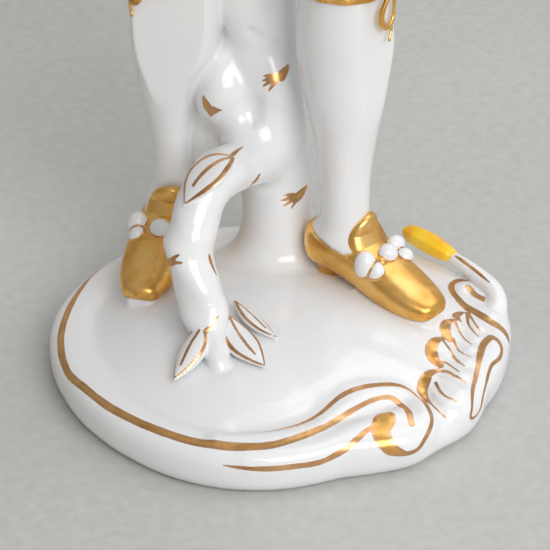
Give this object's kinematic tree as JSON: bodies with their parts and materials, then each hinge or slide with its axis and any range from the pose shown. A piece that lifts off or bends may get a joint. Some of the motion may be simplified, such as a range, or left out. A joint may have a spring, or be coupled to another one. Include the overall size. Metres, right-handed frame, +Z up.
{
  "type": "porcelain figurine",
  "caption": "Glazed white porcelain figurine of a gentleman in court dress, with gilded shoes and trim, leaning on a tree trunk on a round scrolled plinth.",
  "frame": {"origin": "centre of the plinth's round foot, on the plane it rests on", "axes": "+Z up, -Y the side the gentleman faces, +X the plinth's scrolled side and the gentleman's left"},
  "size_m": [0.0983, 0.0905, 0.2634],
  "materials": {
    "glazed_porcelain": "clear high gloss glaze over white porcelain, biscuit on the foot ring",
    "burnished_gold": "burnished gold painted over the glaze",
    "yellow_enamel": "glossy yellow overglaze enamel, gilded at both ends"
  },
  "bodies": {
    "root": {"plinth": "glazed_porcelain", "rear_stem": "glazed_porcelain", "yellow_bud": "yellow_enamel", "tree_trunk": "glazed_porcelain", "root_branch": "glazed_porcelain", "leaf_upper": "glazed_porcelain", "leaf_left": "glazed_porcelain", "leaf_middle": "glazed_porcelain", "leaf_right": "glazed_porcelain", "left_shoe": "burnished_gold", "right_shoe": "burnished_gold", "left_shoe_tongue": "burnished_gold", "right_shoe_tongue": "burnished_gold", "left_shoe_bow": "glazed_porcelain", "right_shoe_bow": "glazed_porcelain", "left_stocking": "glazed_porcelain", "right_stocking": "glazed_porcelain", "left_garter": "burnished_gold", "right_garter": "burnished_gold", "left_garter_bow": "burnished_gold", "right_garter_bow": "burnished_gold", "breeches": "glazed_porcelain", "waistcoat": "glazed_porcelain", "left_waistcoat_flap": "glazed_porcelain", "right_waistcoat_flap": "glazed_porcelain", "waistcoat_buttons": "burnished_gold", "coat_body": "glazed_porcelain", "left_coat_skirt": "glazed_porcelain", "right_coat_skirt": "glazed_porcelain", "coat_buttons": "burnished_gold", "left_sleeve": "glazed_porcelain", "right_sleeve": "glazed_porcelain", "left_cuff": "burnished_gold", "right_cuff": "burnished_gold", "left_cuff_lace": "glazed_porcelain", "right_cuff_lace": "glazed_porcelain", "left_hand": "glazed_porcelain", "right_hand": "glazed_porcelain", "neck": "glazed_porcelain", "neckcloth": "glazed_porcelain", "jabot": "glazed_porcelain", "head": "glazed_porcelain", "wig": "glazed_porcelain", "left_wig_rolls": "glazed_porcelain", "right_wig_rolls": "glazed_porcelain", "wig_queue": "glazed_porcelain", "queue_bow": "burnished_gold"}
  },
  "joints": []
}
